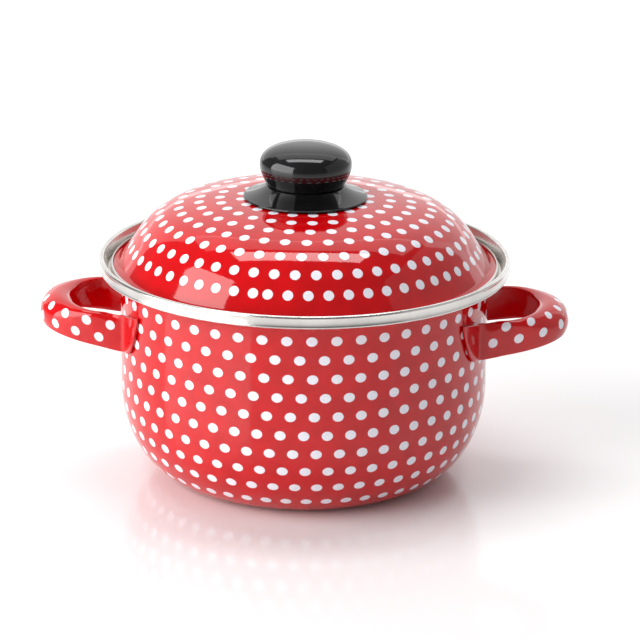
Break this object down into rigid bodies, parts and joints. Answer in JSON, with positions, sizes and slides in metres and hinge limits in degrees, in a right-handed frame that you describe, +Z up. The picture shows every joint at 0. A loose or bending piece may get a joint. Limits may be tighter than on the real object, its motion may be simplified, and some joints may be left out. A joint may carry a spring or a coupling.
{
  "type": "enamelled casserole with lid",
  "caption": "Round enamelled steel casserole with a rounded base, steel-banded rim, pressed loop side handles and a domed lift-off lid with a screwed-on knob.",
  "frame": {"origin": "centre of the base, on the surface that the pot stands on", "axes": "+X through the two side handles, the longest way across; +Z up along the pot's axis, the shortest way; the lid lifts along +Z"},
  "size_m": [0.274, 0.212, 0.1757],
  "materials": {
    "red_enamel": "gloss vitreous enamel, red with white dots",
    "stainless_band": "brushed",
    "black_phenolic": "gloss",
    "brass_insert": "machined",
    "plated_steel": "zinc plated",
    "silicone_seal": "matt"
  },
  "bodies": {
    "pot": {"pot_shell": "red_enamel", "pot_rim_band": "stainless_band", "right_handle": "red_enamel", "left_handle": "red_enamel"},
    "lid": {"lid_shell": "red_enamel", "lid_rim_band": "stainless_band", "knob_skirt": "black_phenolic", "knob": "black_phenolic", "knob_insert": "brass_insert", "knob_screw": "plated_steel", "screw_washer": "plated_steel", "seal_washer": "silicone_seal"}
  },
  "joints": [
    {"name": "lid_lift", "type": "slide", "parent": "pot", "child": "lid", "axis": [0, 0, 1], "range_m": [0, 0.12]}
  ]
}
